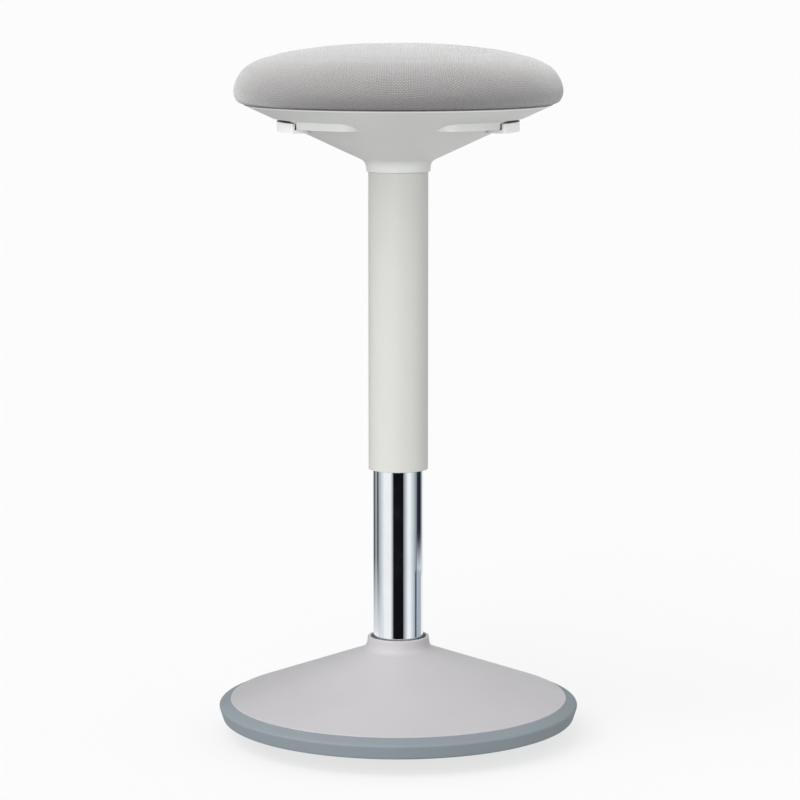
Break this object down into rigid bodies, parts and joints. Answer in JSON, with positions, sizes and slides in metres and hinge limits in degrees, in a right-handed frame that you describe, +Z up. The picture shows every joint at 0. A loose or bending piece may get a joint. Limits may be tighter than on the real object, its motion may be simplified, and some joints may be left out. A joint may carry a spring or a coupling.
{
  "type": "wobble stool",
  "caption": "Round upholstered wobble stool on a gas lift, with a weighted base that rocks on a domed rubber underside.",
  "frame": {"origin": "centre of the flat underside that the stool stands on", "axes": "+Z up along the column, +X towards the right lever seen from the front (-Y)"},
  "size_m": [0.3608, 0.3608, 0.6932],
  "materials": {
    "cover_fabric": "fine woven light grey upholstery",
    "foam": "open cell foam",
    "plywood": "raw birch plywood",
    "shell_plastic": "fine satin pale grey",
    "sleeve_plastic": "smooth off-white",
    "chrome": "polished",
    "base_plastic": "fine matte pale grey",
    "foot_rubber": "matte blue-grey",
    "pan_plastic": "black glass filled nylon",
    "weight_iron": "rough casting, painted dark",
    "hub_steel": "turned steel",
    "black_steel": "satin black",
    "zinc_steel": "zinc plated",
    "rod_steel": "ground steel",
    "guide_plastic": "white acetal",
    "stop_rubber": "black rubber"
  },
  "bodies": {
    "base": {"rubber_foot": "foot_rubber", "base_pan": "pan_plastic", "weight_ring": "weight_iron", "column_hub": "hub_steel", "base_cover": "base_plastic", "column_tube": "chrome", "column_bush": "guide_plastic", "thrust_bearing": "rod_steel", "bump_stop": "stop_rubber", "hub_bolts": "black_steel", "weight_bolts": "black_steel", "foot_screws": "zinc_steel"},
    "rod": {"piston_rod": "rod_steel", "retaining_clip": "rod_steel", "clip_washer": "zinc_steel", "piston": "guide_plastic"},
    "seat": {"gas_cylinder": "black_steel", "rod_gland": "guide_plastic", "cover_sleeve": "sleeve_plastic", "sleeve_ring": "guide_plastic", "sleeve_guide": "guide_plastic", "under_shell": "shell_plastic", "seat_bracket": "black_steel", "pivot_pins": "zinc_steel", "seat_board": "plywood", "seat_foam": "foam", "seat_cover": "cover_fabric", "staples": "zinc_steel", "tee_nuts": "zinc_steel", "bracket_washers": "zinc_steel", "bracket_bolts": "zinc_steel", "shell_screws": "zinc_steel"},
    "left_lever": {"lever_left": "shell_plastic"},
    "right_lever": {"lever_right": "shell_plastic"},
    "button": {"release_button": "rod_steel"}
  },
  "joints": [
    {"name": "seat_swivel", "type": "hinge", "parent": "base", "child": "rod", "pos_m": [0, 0, 0.03], "axis": [0, 0, 1], "continuous": true},
    {"name": "seat_height", "type": "slide", "parent": "rod", "child": "seat", "axis": [0, 0, 1], "range_m": [-0.1, 0.145]},
    {"name": "lever_left_lift", "type": "hinge", "parent": "seat", "child": "left_lever", "pos_m": [-0.034, 0, 0.6188], "axis": [0, 1, 0], "range_deg": [0, 5]},
    {"name": "lever_right_lift", "type": "hinge", "parent": "seat", "child": "right_lever", "pos_m": [0.034, 0, 0.6188], "axis": [0, -1, 0], "range_deg": [0, 5]},
    {"name": "button_press", "type": "slide", "parent": "seat", "child": "button", "axis": [0, 0, -1], "range_m": [0, 0.0034], "stiffness_N_per_m": 100}
  ],
  "couplings": [
    {"joint": "lever_right_lift", "follows": "lever_left_lift", "ratio": 1},
    {"joint": "button_press", "follows": "lever_left_lift", "m_per_rad": 0.037}
  ]
}
